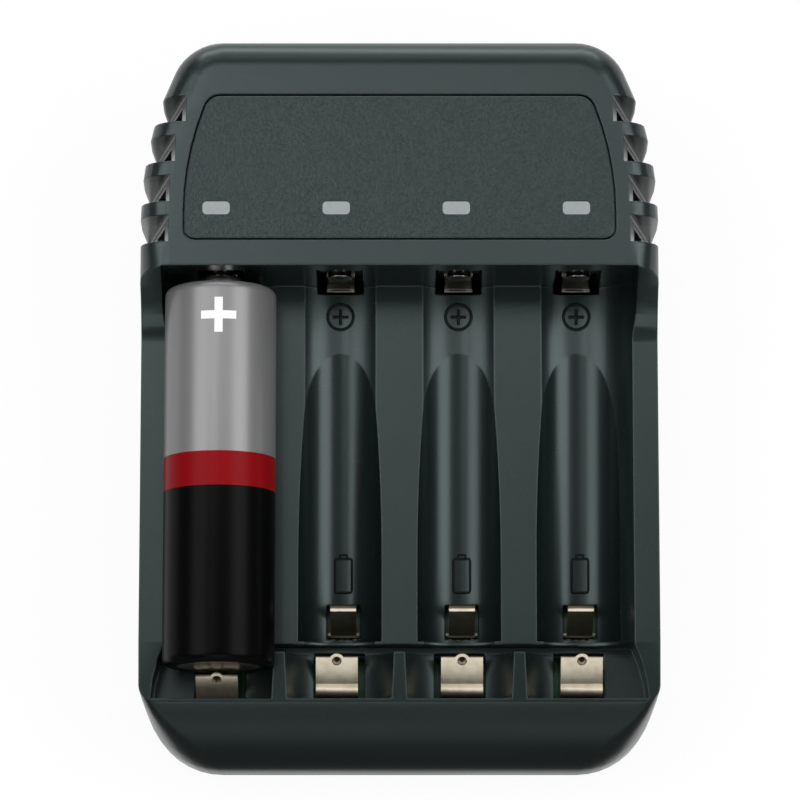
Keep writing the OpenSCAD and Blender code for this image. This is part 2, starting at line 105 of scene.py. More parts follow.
def smoothing_nodes():
    """Geometry nodes that weld a mesh and smooth it, but keep its edges and its curved faces' creases."""
    group = bpy.data.node_groups.new("smooth_faces", "GeometryNodeTree")
    for side in ("INPUT", "OUTPUT"):
        group.interface.new_socket("Geometry", in_out=side, socket_type="NodeSocketGeometry")
    start = add_node(group, "NodeGroupInput")
    bare = add_node(group, "GeometryNodeRemoveAttribute", {"Geometry": start.outputs[0]},
                    {"Name": "custom_normal"})
    normal = add_node(group, "GeometryNodeInputNormal")
    face = add_node(group, "GeometryNodeInputMeshIsland")
    mean = add_node(group, "GeometryNodeFieldAverage",
                    {"Value": normal.outputs["True Normal"], "Group ID": face.outputs["Island Index"]},
                    data_type="FLOAT_VECTOR", domain="FACE")
    length = add_node(group, "ShaderNodeVectorMath", {0: mean.outputs["Mean"]}, operation="LENGTH")
    bends = add_node(group, "FunctionNodeCompare", {"A": length.outputs["Value"]}, {"B": FLAT_LENGTH},
                     operation="LESS_THAN")
    curved = add_node(group, "GeometryNodeStoreNamedAttribute",
                      {"Geometry": bare.outputs[0], "Value": bends.outputs[0]},
                      {"Name": "curved"}, domain="FACE")
    neighbours = add_node(group, "GeometryNodeInputMeshEdgeNeighbors")
    alone = add_node(group, "FunctionNodeCompare", {"A": neighbours.outputs[0]}, {"B": 1},
                     data_type="INT", operation="EQUAL")
    seam = add_node(group, "GeometryNodeStoreNamedAttribute",
                    {"Geometry": curved.outputs[0], "Value": alone.outputs[0]},
                    {"Name": "seam"}, domain="EDGE")
    weld = add_node(group, "GeometryNodeMergeByDistance", {"Geometry": seam.outputs[0]}, {"Distance": WELD})
    smooth = add_node(group, "GeometryNodeSetShadeSmooth", {"Geometry": weld.outputs[0]},
                      {"Shade Smooth": True})
    was_curved = add_node(group, "GeometryNodeInputNamedAttribute", values={"Name": "curved"})
    was_seam = add_node(group, "GeometryNodeInputNamedAttribute", values={"Name": "seam"})
    both = add_node(group, "ShaderNodeMath", {0: was_curved.outputs[0], 1: was_seam.outputs[0]},
                    operation="MULTIPLY")
    crease = add_node(group, "FunctionNodeCompare", {"A": both.outputs[0]}, {"B": CREASE_SHARE},
                      operation="GREATER_THAN")
    limit = add_node(group, "GeometryNodeSwitch", {"Switch": crease.outputs[0]},
                     {"False": SMOOTH_ANGLE, "True": CREASE_ANGLE}, input_type="FLOAT")
    angle = add_node(group, "GeometryNodeInputMeshEdgeAngle")
    sharp = add_node(group, "FunctionNodeCompare", {"A": angle.outputs[0], "B": limit.outputs[0]},
                     operation="GREATER_THAN")
    crisp = add_node(group, "GeometryNodeSetShadeSmooth",
                     {"Geometry": smooth.outputs[0], "Selection": sharp.outputs[0]},
                     {"Shade Smooth": False}, domain="EDGE")
    add_node(group, "NodeGroupOutput", {0: crisp.outputs[0]})
    return group


SMOOTHING = smoothing_nodes()


def dress(name, material):
    """Gives a CAD node its material and smooth faces."""
    piece = nodes[name]
    piece.data.materials.clear()
    piece.data.materials.append(material)
    piece.modifiers.new("smooth", "NODES").node_group = SMOOTHING
    flat = piece.modifiers.new("flat_faces", "WEIGHTED_NORMAL")
    flat.keep_sharp = True
    flat.weight = FLAT_WEIGHT
    return piece


def moulded_abs(name, tones, grain_size, grain_height, roughness, shine=0.5):
    """Moulded ABS: a satin black that greys where the tool's fine sparked grain catches the light."""
    material, tree, shader = start_material(name, tones[0], roughness, IOR=ABS_IOR,
                                            Specular_IOR_Level=shine, Specular_Tint=ABS_GLOSS_TINT)
    place = add_node(tree, "ShaderNodeTexCoord")
    grain = add_node(tree, "ShaderNodeTexNoise", {"Vector": place.outputs["Object"]},
                     {"Scale": 1 / grain_size, "Detail": 3, "Roughness": 0.6})
    flow = add_node(tree, "ShaderNodeTexNoise", {"Vector": place.outputs["Object"]},
                    {"Scale": 1 / FLOW, "Detail": 2})
    specks = add_node(tree, "ShaderNodeMapRange", {"Value": grain.outputs["Fac"]},
                      {"From Min": SPECK_RANGE[0], "From Max": SPECK_RANGE[1]})
    tone = add_node(tree, "ShaderNodeMix", {"Factor": specks.outputs["Result"]},
                    {"A": linear(tones[0]), "B": linear(tones[1])}, data_type="RGBA")
    gloss = add_node(tree, "ShaderNodeMapRange", {"Value": flow.outputs["Fac"]},
                     {"To Min": roughness - FLOW_GLOSS, "To Max": roughness + FLOW_GLOSS})
    edge = add_node(tree, "ShaderNodeBevel", values={"Radius": EDGE_RADIUS}, samples=EDGE_SAMPLES)
    bump = add_node(tree, "ShaderNodeBump", {"Height": grain.outputs["Fac"], "Normal": edge.outputs[0]},
                    {"Strength": GRAIN_STRENGTH, "Distance": grain_height})
    tree.links.new(tone.outputs["Result"], shader.inputs["Base Color"])
    tree.links.new(gloss.outputs["Result"], shader.inputs["Roughness"])
    tree.links.new(bump.outputs["Normal"], shader.inputs["Normal"])
    return material


case_abs = moulded_abs("abs_moulded_satin", ("#0d1413", "#121b1a"), grain_size=GRAIN,
                       grain_height=0.012 * MM, roughness=0.28)
dress("back_cover", case_abs)

# Circuit board
# A green glass laminate under solder resist, with a light-emitting diode for each bay,
# a controller, an inductor and two capacitors. It sits on the case's four posts.
BAYS = range(1, 5)
RESIST = ("#0b3d25", "#135a35")
TRACK_PITCH = 1.885 * MM
TRACK_EDGE = (0.55, 0.6)
TRACK_HEIGHT = 0.03 * MM
# Length over which a wave texture of scale 1 repeats
WAVE_PERIOD = math.pi / 10
# Depth of a speck, as a share of its width
SPECK_DEPTH = 0.05

# Resist on a glass laminate is a glossy green coat, paler and a little raised over the copper tracks
resist, tree, shader = start_material("glass_laminate_green_resist", RESIST[0], roughness=0.28, IOR=1.5)
place = add_node(tree, "ShaderNodeTexCoord")
track_lines = add_node(tree, "ShaderNodeTexWave", {"Vector": place.outputs["Object"]},
                       {"Scale": WAVE_PERIOD / TRACK_PITCH, "Distortion": 1.5, "Detail": 1},
                       wave_type="BANDS", bands_direction="X")
tracks = add_node(tree, "ShaderNodeMapRange", {"Value": track_lines.outputs["Fac"]},
                  {"From Min": TRACK_EDGE[0], "From Max": TRACK_EDGE[1]})
tone = add_node(tree, "ShaderNodeMix", {"Factor": tracks.outputs["Result"]},
                {"A": linear(RESIST[0]), "B": linear(RESIST[1])}, data_type="RGBA")
bump = add_node(tree, "ShaderNodeBump", {"Height": tracks.outputs["Result"]},
                {"Strength": 0.4, "Distance": TRACK_HEIGHT})
tree.links.new(tone.outputs["Result"], shader.inputs["Base Color"])
tree.links.new(bump.outputs["Normal"], shader.inputs["Normal"])
dress("circuit_board", resist)


def speckled(name, tones, roughness, size, **sockets):
    """A plain moulded, cast or drawn finish: two close tones in fine specks, which also roughen it."""
    material, tree, shader = start_material(name, tones[0], roughness, **sockets)
    place = add_node(tree, "ShaderNodeTexCoord")
    specks = add_node(tree, "ShaderNodeTexNoise", {"Vector": place.outputs["Object"]},
                      {"Scale": 1 / size, "Detail": 3})
    tone = add_node(tree, "ShaderNodeMix", {"Factor": specks.outputs["Fac"]},
                    {"A": linear(tones[0]), "B": linear(tones[1])}, data_type="RGBA")
    bump = add_node(tree, "ShaderNodeBump", {"Height": specks.outputs["Fac"]},
                    {"Strength": 0.2, "Distance": size * SPECK_DEPTH})
    tree.links.new(tone.outputs["Result"], shader.inputs["Base Color"])
    tree.links.new(bump.outputs["Normal"], shader.inputs["Normal"])
    return material


# Cast silicone looks milky, moulded epoxy and pressed ferrite dull and dark, and a drawn can bright
led_resin = speckled("silicone_cast_led", ("#e8dfb0", "#efe8c8"), roughness=0.35, size=0.4 * MM)
chip_epoxy = speckled("epoxy_moulded_chip", ("#141414", "#1f1f1f"), roughness=0.6, size=0.15 * MM)
ferrite = speckled("ferrite_pressed", ("#2b2b2d", "#3b3a3b"), roughness=0.7, size=0.3 * MM)
can_aluminium = speckled("aluminium_drawn_can", ("#a9adb3", "#bfc2c6"), roughness=0.3, size=0.6 * MM,
                         Metallic=1)
dress("controller_chip", chip_epoxy)
dress("inductor", ferrite)
dress("capacitors", can_aluminium)
for bay in BAYS:
    dress(f"led_{bay}", led_resin)

# Spring leaves and positive contacts
# Strips of spring steel, stamped, bent and nickel plated. The leaves stand in slots of the board
# and press on the cells' flat ends, and the bossed clips in the head's wall meet their buttons.
NICKEL = ("#d8cfbb", "#bdb198")
# Painted shade: the clips' nickel takes darker, greyer tones than the leaves', as in the shadow of the
# head's wall
SHADED_CLIP_TONES = ("#a9a8a1", "#85837b")
# Rolling leaves streaks of about 0.02 mm, too fine to show, so they are drawn coarser here
ROLLED = 0.2 * MM
ROLL_STRETCH = (0.15, 1, 1)
ROLL_HEIGHT = 0.01 * MM
STAIN = 1.6 * MM
STAIN_RANGE = (0.45, 0.8)
# Roughness along the streaks, on the leaves and on the clips
SPRUNG = (0.36, 0.5)
POLISHED = (0.08, 0.15)
CUT_EDGE = 0.08 * MM
TUMBLED_EDGE = 0.15 * MM
# An AA leaf's dimple, from the middle of its upper edge towards the cell, and how far the painted shade in
# its hollow spreads
CUP = Vector((0, -0.61, -1.19)) * MM
CUP_SHADE_SPREAD = (0.42 * MM, 0.75 * MM)
# Painted shade: the dimple's hollow is coloured dark brown, as if it lay in shadow
CUP_SHADE = "#2c2116"


def nickel_plated(name, tones, gloss_range, edge_radius, cup=None):
    """Nickel plate on rolled steel: warm and bright, streaked by rolling, with painted shade, dark brown, in
    a dimple's hollow.
    """
    material, tree, shader = start_material(name, tones[0], gloss_range[0], Metallic=1)
    place = add_node(tree, "ShaderNodeTexCoord")
    stretch = add_node(tree, "ShaderNodeMapping", {"Vector": place.outputs["Object"]},
                       {"Scale": ROLL_STRETCH})
    rolled = add_node(tree, "ShaderNodeTexNoise", {"Vector": stretch.outputs["Vector"]},
                      {"Scale": 1 / ROLLED, "Detail": 3})
    stain = add_node(tree, "ShaderNodeTexNoise", {"Vector": place.outputs["Object"]},
                     {"Scale": 1 / STAIN, "Detail": 4})
    patches = add_node(tree, "ShaderNodeMapRange", {"Value": stain.outputs["Fac"]},
                       {"From Min": STAIN_RANGE[0], "From Max": STAIN_RANGE[1]})
    plate = add_node(tree, "ShaderNodeMix", {"Factor": patches.outputs["Result"]},
                     {"A": linear(tones[0]), "B": linear(tones[1])}, data_type="RGBA")
    # Painted shade: towards the dimple's middle the plate turns dark brown
    if cup:
        away = add_node(tree, "ShaderNodeVectorMath", {0: place.outputs["Object"]}, {1: cup},
                        operation="DISTANCE")
        near = add_node(tree, "ShaderNodeMapRange", {"Value": away.outputs["Value"]},
                        {"From Min": CUP_SHADE_SPREAD[0], "From Max": CUP_SHADE_SPREAD[1], "To Min": 1, "To Max": 0})
        plate = add_node(tree, "ShaderNodeMix",
                         {"Factor": near.outputs["Result"], "A": plate.outputs["Result"]},
                         {"B": linear(CUP_SHADE)}, data_type="RGBA")
    gloss = add_node(tree, "ShaderNodeMapRange", {"Value": rolled.outputs["Fac"]},
                     {"To Min": gloss_range[0], "To Max": gloss_range[1]})
    edge = add_node(tree, "ShaderNodeBevel", values={"Radius": edge_radius}, samples=EDGE_SAMPLES)
    bump = add_node(tree, "ShaderNodeBump", {"Height": rolled.outputs["Fac"], "Normal": edge.outputs[0]},
                    {"Strength": 0.12, "Distance": ROLL_HEIGHT})
    tree.links.new(plate.outputs["Result"], shader.inputs["Base Color"])
    tree.links.new(gloss.outputs["Result"], shader.inputs["Roughness"])
    tree.links.new(bump.outputs["Normal"], shader.inputs["Normal"])
    return material


leaf_steel = nickel_plated("spring_steel_nickel_plated", NICKEL, SPRUNG, CUT_EDGE)
clip_steel = nickel_plated("clip_nickel_painted_shade", SHADED_CLIP_TONES, POLISHED, TUMBLED_EDGE)
for bay in BAYS:
    low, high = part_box(f"aa_leaf_{bay}")
    cup = Vector(((low.x + high.x) / 2, high.y, high.z)) + CUP
    cup_shaded_steel = nickel_plated(f"spring_steel_nickel_cup_shaded_{bay}", NICKEL, SPRUNG, CUT_EDGE, cup)
    dress(f"aa_leaf_{bay}", cup_shaded_steel)
    dress(f"aaa_leaf_{bay}", leaf_steel)
    dress(f"positive_contact_{bay}", clip_steel)

# Solder
# Lumps of tin solder that hold each AAA leaf's foot to the board, put on by hand
# and set in uneven, bright mounds.
SHARP_ANGLE = math.radians(40)
SOLDER_RINGS = 6
SOLDER_SIDES = 20
# How far a lump's surface wanders, as a share of its size, and how often
WANDER = 0.22
WANDERS = 1.7
# Each lump in mm: place from the middle of the leaf's tail edge, half its width and depth, and height
LUMPS = (
    (-1.45, -0.48, 0.5, 0.34, 0.3),
    (-0.45, -0.53, 0.6, 0.3, 0.22),
    (0.55, -0.52, 0.6, 0.3, 0.24),
    (1.5, -0.48, 0.48, 0.35, 0.32),
)
SEEDS_PER_BAY = 7


def add_piece(name, points, faces, material, body, slot):
    """A mesh piece with the given material that rides on a body. The slot is not used."""
    mesh = bpy.data.meshes.new(name)
    mesh.from_pydata([tuple(p) for p in points], [], faces)
    mesh.materials.append(material)
    mesh.shade_smooth()
    mesh.set_sharp_from_angle(angle=SHARP_ANGLE)
    piece = bpy.data.objects.new(name, mesh)
    bpy.context.scene.collection.objects.link(piece)
    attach(piece, body)
    return piece


def joined(forms):
    """The points and faces of several forms as those of one."""
    points, faces = [], []
    for more_points, more_faces in forms:
        faces += [tuple(n + len(points) for n in face) for face in more_faces]
        points += more_points
    return points, faces


def mound(centre, half, seed):
    """Points and faces of a lumpy half-ellipsoid that stands on a flat base."""
    points = []
    for i in range(SOLDER_RINGS):
        rise = i / SOLDER_RINGS * math.pi / 2
        for j in range(SOLDER_SIDES):
            turn = 2 * math.pi * j / SOLDER_SIDES
            way = Vector((math.cos(turn) * math.cos(rise), math.sin(turn) * math.cos(rise), math.sin(rise)))
            lump = 1 + WANDER * noise.noise(way * WANDERS + Vector((seed, 0, 0)))
            points.append(centre + Vector([w * h * lump for w, h in zip(way, half)]))
    points.append(centre + Vector((0, 0, half[2])))
    points.append(centre)
    top, base = len(points) - 2, len(points) - 1
    faces = []
    for j in range(SOLDER_SIDES):
        k = (j + 1) % SOLDER_SIDES
        for i in range(SOLDER_RINGS - 1):
            row = i * SOLDER_SIDES
            faces.append((row + j, row + k, row + SOLDER_SIDES + k, row + SOLDER_SIDES + j))
        last = (SOLDER_RINGS - 1) * SOLDER_SIDES
        faces.append((last + j, last + k, top))
        faces.append((k, j, base))
    return points, faces


# Tin solder sets to a bright, slightly frosted grey
solder = speckled("tin_solder_set", ("#d6d7d2", "#b4b5b0"), roughness=0.42, size=0.5 * MM, Metallic=0.55)
board_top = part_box("circuit_board")[1].z
for bay in BAYS:
    low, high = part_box(f"aaa_leaf_{bay}")
    middle = (low.x + high.x) / 2
    mounds = []
    for i, (x, y, *half) in enumerate(LUMPS):
        centre = Vector((middle + x * MM, low.y + y * MM, board_top))
        mounds.append(mound(centre, [h * MM for h in half], SEEDS_PER_BAY * bay + i))
    add_piece(f"aaa_leaf_solder_{bay}", *joined(mounds), solder, "case", "spring_strip")

# Power inlet
# A socket shell of tinned sheet steel, stamped and folded round its tongue.
# It is soldered to the board and opens through the head's end.

# Tin plate on sheet steel has a soft, even grey shine
tinned = speckled("steel_sheet_tinned", ("#b9babb", "#a5a6a8"), roughness=0.32, size=0.7 * MM, Metallic=1)
dress("power_inlet", tinned)

# Top housing
# The main moulding: head with vented shoulders, rails, ribs and troughs for both sizes of cell.
# It is one shot of the same black ABS as the back cover.
housing = dress("top_housing", case_abs)
housing_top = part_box("top_housing")[1].z

# Moulded marks
# A plus in a ring at the head end of each bay, and the outline of a cell in each AAA trough, raised from the
# housing as fine lines. Their darker tones are painted shade, which makes them look darker than the grain
# round them.
BEAD_SIDES = 6
BEAD_SINK = 0.05 * MM
LINE = 0.46 * MM
LINE_HEIGHT = 0.17 * MM
THIN_LINE = 0.368 * MM
THIN_LINE_HEIGHT = 0.136 * MM
PLUS_RADIUS = 1.66 * MM
PLUS_ARM = 1 * MM
PLUS_ARM_STEPS = 5
PLUS_RING_STEPS = 40
# From a contact to the plus, and from an AAA leaf to the outline
PLUS_BACK = 3.3 * MM
CELL_FORE = 2.05 * MM
CELL_MARK = Vector((2.15, 4.3)) * MM
CELL_NUB = Vector((0.9, 0.5)) * MM
# Places along a side of the outline, so near its ends that the corners are only just cut
SIDE_SHARES = (0.06, 0.25, 0.5, 0.75, 0.94)
# Painted shade: the lines take darker tones and less gloss than the case
painted_shade_abs = moulded_abs("abs_moulded_painted_shade", ("#060808", "#090c0c"), grain_size=GRAIN,
                       grain_height=0.004 * MM, roughness=0.5, shine=0.16)


def on_housing(x, y):
    """The point of the housing under a place seen from above, and its normal there."""
    _, point, normal, _ = housing.ray_cast(Vector((x, y, housing_top)), Vector((0, 0, -1)))
    return point, normal


def bead(path, width, height, closed):
    """Points and faces of a half-round line laid on the housing along a path seen from above."""
    spots = [on_housing(x, y) for x, y in path]
    count, ring = len(spots), BEAD_SIDES + 1
    points, faces = [], []
    for i, (spot, up) in enumerate(spots):
        before = spots[i - 1][0] if closed or i else spot
        after = spots[(i + 1) % count][0] if closed or i < count - 1 else spot
        across = up.cross(after - before).normalized()
        for j in range(ring):
            turn = math.pi * j / BEAD_SIDES
            rise = height * math.sin(turn) - BEAD_SINK
            points.append(spot + across * (width / 2 * math.cos(turn)) + up * rise)
    for i in range(count if closed else count - 1):
        here, there = i * ring, (i + 1) % count * ring
        for j in range(ring):
            k = (j + 1) % ring
            faces.append((here + j, here + k, there + k, there + j))
    if not closed:
        faces.append(tuple(range(ring)))
        faces.append(tuple(reversed(range((count - 1) * ring, count * ring))))
    return points, faces


def add_mark(name, lines, width, height):
    """One piece from several lines on the housing, each a path and whether it closes."""
    beads = [bead(path, width, height, closed) for path, closed in lines]
    return add_piece(name, *joined(beads), painted_shade_abs, "case", "case")


for bay in BAYS:
    low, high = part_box(f"positive_contact_{bay}")
    x, y = (low.x + high.x) / 2, low.y - PLUS_BACK
    turns = [2 * math.pi * i / PLUS_RING_STEPS for i in range(PLUS_RING_STEPS)]
    ring_line = [(x + PLUS_RADIUS * math.cos(a), y + PLUS_RADIUS * math.sin(a)) for a in turns]
    arms = [i / PLUS_ARM_STEPS * PLUS_ARM for i in range(-PLUS_ARM_STEPS, PLUS_ARM_STEPS + 1)]
    bar, upright = [(x + a, y) for a in arms], [(x, y + a) for a in arms]
    add_mark(f"plus_mark_{bay}", [(ring_line, True), (bar, False), (upright, False)], LINE, LINE_HEIGHT)

    low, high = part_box(f"aaa_leaf_{bay}")
    x, y = (low.x + high.x) / 2, high.y + CELL_FORE
    half, half_nub = CELL_MARK.x / 2, CELL_NUB.x / 2
    corners = [(-half, 0), (half, 0), (half, CELL_MARK.y), (-half, CELL_MARK.y)]
    outline = []
    for (ax, ay), (bx, by) in zip(corners, corners[1:] + corners[:1]):
        outline += [(x + ax + (bx - ax) * t, y + ay + (by - ay) * t) for t in SIDE_SHARES]
    top = y + CELL_MARK.y
    nub_top = top + CELL_NUB.y
    nub = [(x - half_nub, top), (x - half_nub, nub_top), (x, nub_top), (x + half_nub, nub_top),
           (x + half_nub, top)]
    add_mark(f"cell_mark_{bay}", [(outline, True), (nub, False)], THIN_LINE, THIN_LINE_HEIGHT)

# Light windows
# Light pipes of frosted polycarbonate, moulded one for each bay. They stand on the diodes
# and show through the panel.
FROST = ("#838889", "#919798")
FROST_SIZE = 0.5 * MM

# Frosted polycarbonate scatters the light inside it, so it looks pale grey and faintly misty
frosted, tree, shader = start_material("polycarbonate_frosted", FROST[0], roughness=0.42, IOR=1.58)
place = add_node(tree, "ShaderNodeTexCoord")
mist = add_node(tree, "ShaderNodeTexNoise", {"Vector": place.outputs["Object"]},
                {"Scale": 1 / FROST_SIZE, "Detail": 3})
tone = add_node(tree, "ShaderNodeMix", {"Factor": mist.outputs["Fac"]},
                {"A": linear(FROST[0]), "B": linear(FROST[1])}, data_type="RGBA")
tree.links.new(tone.outputs["Result"], shader.inputs["Base Color"])
for bay in BAYS:
    dress(f"light_window_{bay}", frosted)

# Indicator panel
# A thin plate of ABS set into the head's top, round the light windows. Its tool was sparked
# more coarsely than the case's, so it looks speckled.
panel_abs = moulded_abs("abs_moulded_speckled", ("#040706", "#1a2422"), grain_size=0.36 * MM,
                        grain_height=0.3 * MM, roughness=0.3)
dress("indicator_panel", panel_abs)

# Case screws
# Steel screws with crossed slots, rolled, zinc plated and sunk into the back cover,
# which they hold to the housing.

# Zinc plate on steel looks greyer and duller than nickel
zinc = speckled("steel_zinc_plated", ("#8f9296", "#a6a8aa"), roughness=0.35, size=0.4 * MM, Metallic=1)
dress("case_screws", zinc)

# AA cell
# A drawn steel can, nickel plated, in a printed shrink sleeve whose edges turn over both ends.
# It lies in the first bay between its spring leaf and its positive contact.
CELL_SIDES = 96
SLEEVE = 0.12 * MM
SLEEVE_GAP = 0.02 * MM
LIP = 1.7 * MM
CELL_EDGE = 1.1 * MM
CELL_EDGE_STEPS = 6
BUTTON_HEIGHT = 1.5 * MM
# Where the printed bands start, as shares of the sleeve's length from the flat end
RED_FROM = 0.455
SILVER_FROM = 0.545
BANDS = ((0, "#030303"), (RED_FROM, "#7f0910"), (SILVER_FROM, "#818182"))
SILVER_FLAKE = 0.4
WRINKLE = 5 * MM
WRINKLE_HEIGHT = 0.1 * MM
# The flat end's dish, the seal's groove and the button: radius, and how far each point lies
# towards the button from the face it belongs to, in mm
DISH = ((0.01, 0.12), (3.4, 0.12), (3.7, 0))
GROOVE = ((4.6, 0), (4.3, -0.25), (3.2, -0.25), (2.95, 0), (2.7, 0.2))
BUTTON = ((2.7, -0.35), (2.6, -0.12), (2.3, 0), (0.01, 0))
low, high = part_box("aa_cell")
cell_x, cell_z = (low.x + high.x) / 2, (low.z + high.z) / 2
cell_r = (high.x - low.x) / 2
shoulder = high.y - BUTTON_HEIGHT


def turned(profile, closed):
    """Points and faces of a profile, as radius and Y, turned round the cell's axis."""
    points = []
    for radius, y in profile:
        for j in range(CELL_SIDES):
            turn = 2 * math.pi * j / CELL_SIDES
            points.append((cell_x + radius * math.sin(turn), y, cell_z + radius * math.cos(turn)))
    rows = len(profile)
    faces = []
    for i in range(rows if closed else rows - 1):
        here, there = i * CELL_SIDES, (i + 1) % rows * CELL_SIDES
        for j in range(CELL_SIDES):
            k = (j + 1) % CELL_SIDES
            faces.append((here + j, here + k, there + k, there + j))
    if not closed:
        faces.append(tuple(reversed(range(CELL_SIDES))))
        faces.append(tuple(range((rows - 1) * CELL_SIDES, rows * CELL_SIDES)))
    return points, faces


def turned_edge(radius, y, down):
    """A quarter round between the side and an end of the cell, listed from tail to head."""
    steps = [math.pi / 2 * i / CELL_EDGE_STEPS for i in range(CELL_EDGE_STEPS + 1)]
    middle = radius - CELL_EDGE
    if down:
        return [(middle + CELL_EDGE * math.sin(a), y + CELL_EDGE - CELL_EDGE * math.cos(a)) for a in steps]
    return [(middle + CELL_EDGE * math.cos(a), y - CELL_EDGE + CELL_EDGE * math.sin(a)) for a in steps]


def set_stops(ramp, stops):
    """Gives a colour ramp these stops, each a place and a colour, the first at 0."""
    ramp.elements.remove(ramp.elements[-1])
    for at, colour in stops:
        stop = ramp.elements[0] if at == 0 else ramp.elements.new(at)
        stop.position = at
        stop.color = linear(colour)


# Shrink film is smooth with little gloss, faintly wrinkled, and its silver ink holds metal flakes
sleeve_film, tree, shader = start_material("printed_shrink_film", BANDS[0][1], roughness=0.3, IOR=1.5,
                                           Specular_IOR_Level=0.06)
place = add_node(tree, "ShaderNodeTexCoord")
parts = add_node(tree, "ShaderNodeSeparateXYZ", {"Vector": place.outputs["Object"]})
share = add_node(tree, "ShaderNodeMapRange", {"Value": parts.outputs["Y"]},
                 {"From Min": low.y, "From Max": shoulder})
bands = add_node(tree, "ShaderNodeValToRGB", {"Fac": share.outputs["Result"]})
bands.color_ramp.interpolation = "CONSTANT"
set_stops(bands.color_ramp, BANDS)
silver = add_node(tree, "ShaderNodeMath", {0: share.outputs["Result"]}, {1: SILVER_FROM},
                  operation="GREATER_THAN")
ink = add_node(tree, "ShaderNodeMath", {0: silver.outputs[0]}, {1: SILVER_FLAKE}, operation="MULTIPLY")
wrinkle = add_node(tree, "ShaderNodeTexNoise", {"Vector": place.outputs["Object"]},
                   {"Scale": 1 / WRINKLE, "Detail": 2})
bump = add_node(tree, "ShaderNodeBump", {"Height": wrinkle.outputs["Fac"]},
                {"Strength": 0.08, "Distance": WRINKLE_HEIGHT})
tree.links.new(bands.outputs["Color"], shader.inputs["Base Color"])
tree.links.new(ink.outputs[0], shader.inputs["Metallic"])
tree.links.new(bump.outputs["Normal"], shader.inputs["Normal"])

lip_r, film_r = cell_r - LIP, cell_r - SLEEVE
film_low, film_high = low.y + SLEEVE, shoulder - SLEEVE
outer = [(lip_r, low.y), *turned_edge(cell_r, low.y, True), *turned_edge(cell_r, shoulder, False),
         (lip_r, shoulder)]
inner = [(lip_r, film_low), *turned_edge(film_r, film_low, True), *turned_edge(film_r, film_high, False),
         (lip_r, film_high)]
sleeve = add_piece("aa_cell_sleeve", *turned(outer + inner[::-1], True), sleeve_film, "case", "cell_jacket")
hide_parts("aa_cell")

# Nickel plate on drawn steel is smooth and bright, with hardly a mark
can_steel = speckled("steel_drawn_nickel_plated", ("#c4c3bf", "#b4b2ad"), roughness=0.25, size=0.8 * MM,
                     Metallic=1)
can_r = film_r - SLEEVE_GAP
can_low, can_high = film_low + SLEEVE_GAP, film_high - SLEEVE_GAP
can = [*((r * MM, can_low + h * MM) for r, h in DISH),
       *turned_edge(can_r, can_low, True), *turned_edge(can_r, can_high, False),
       *((r * MM, can_high + h * MM) for r, h in GROOVE),
       *((r * MM, high.y + h * MM) for r, h in BUTTON)]
add_piece("aa_cell_can", *turned(can, False), can_steel, "case", "cell_jacket")

# Plus sign on the cell
# White ink, screen printed on the sleeve near the button end, where it shows which way round
# the cell goes.
SIGN_ARM = 2.25 * MM
SIGN_HALF = 0.52 * MM
SIGN_BACK = 4.6 * MM
# Places along an arm, close enough to follow the sleeve's curve
ARM_SHARES = (0.45, 0.7, 1)
INK_BASE = 0.005 * MM
INK_TOP = 0.03 * MM
# Screen ink lies thick and white, with a slight sheen
ink_white = speckled("screen_ink_white", ("#f2f2f0", "#e6e6e4"), roughness=0.4, size=0.3 * MM)
arm = [SIGN_ARM * s for s in ARM_SHARES]
ticks = [*(-t for t in reversed(arm)), -SIGN_HALF, 0, SIGN_HALF, *arm]
spans = list(zip(ticks, ticks[1:]))
points, faces, known = [], [], {}
for layer in (INK_BASE, INK_TOP):
    for across_cell in ticks:
        for along_cell in ticks:
            turn = across_cell / cell_r
            known[layer, across_cell, along_cell] = len(points)
            points.append((cell_x + (cell_r + layer) * math.sin(turn), shoulder - SIGN_BACK + along_cell,
                           cell_z + (cell_r + layer) * math.cos(turn)))
# Squares of the grid that lie in the upright or in the bar
filled = [(a, b) for a in spans for b in spans
          if max(map(abs, a)) <= SIGN_HALF or max(map(abs, b)) <= SIGN_HALF]
for (a0, a1), (b0, b1) in filled:
    loop = [(a0, b0), (a1, b0), (a1, b1), (a0, b1)]
    faces.append(tuple(known[INK_TOP, a, b] for a, b in loop))
    faces.append(tuple(known[INK_BASE, a, b] for a, b in reversed(loop)))
    # The ink ends in a wall wherever no filled square lies beyond an edge
    for (p, q), step in zip(zip(loop, loop[1:] + loop[:1]), ((0, -1), (1, 0), (0, 1), (-1, 0))):
        column, row = spans.index((a0, a1)) + step[0], spans.index((b0, b1)) + step[1]
        on_grid = 0 <= column < len(spans) and 0 <= row < len(spans)
        if not on_grid or (spans[column], spans[row]) not in filled:
            faces.append((known[INK_BASE, *p], known[INK_BASE, *q], known[INK_TOP, *q], known[INK_TOP, *p]))
used = sorted({n for face in faces for n in face})
renumber = {n: i for i, n in enumerate(used)}
add_piece("aa_cell_plus_sign", [points[n] for n in used],
          [tuple(renumber[n] for n in face) for face in faces], ink_white, "case", "cell_jacket")

# Floor
# White studio paper that keeps a soft contact shadow. Reflections show it too, and in front of the tail they
# show a painted shadow, a black band with grey paper beyond, which keeps the tail's round dark.
FLOOR_SIZE = 3
PAPER = "#f4f4f4"
PAPER_IN_ROOM = "#8f8b82"
WHITE = (1, 1, 1, 1)
# Share of plain white in what the camera sees. The rest takes the shadow
WHITE_SHARE = 0.92
# The stretch in front of the tail along Y, and what reflections show at shares of it: grey far out, then a
# painted shadow, then white at the tail
FRONT = (-0.2, -0.045)
FRONT_SHADOW_TONES = ((0, "#b4b4b4"), (0.64, "#b4b4b4"), (0.74, "#161616"), (0.965, "#161616"), (1, "#ffffff"))

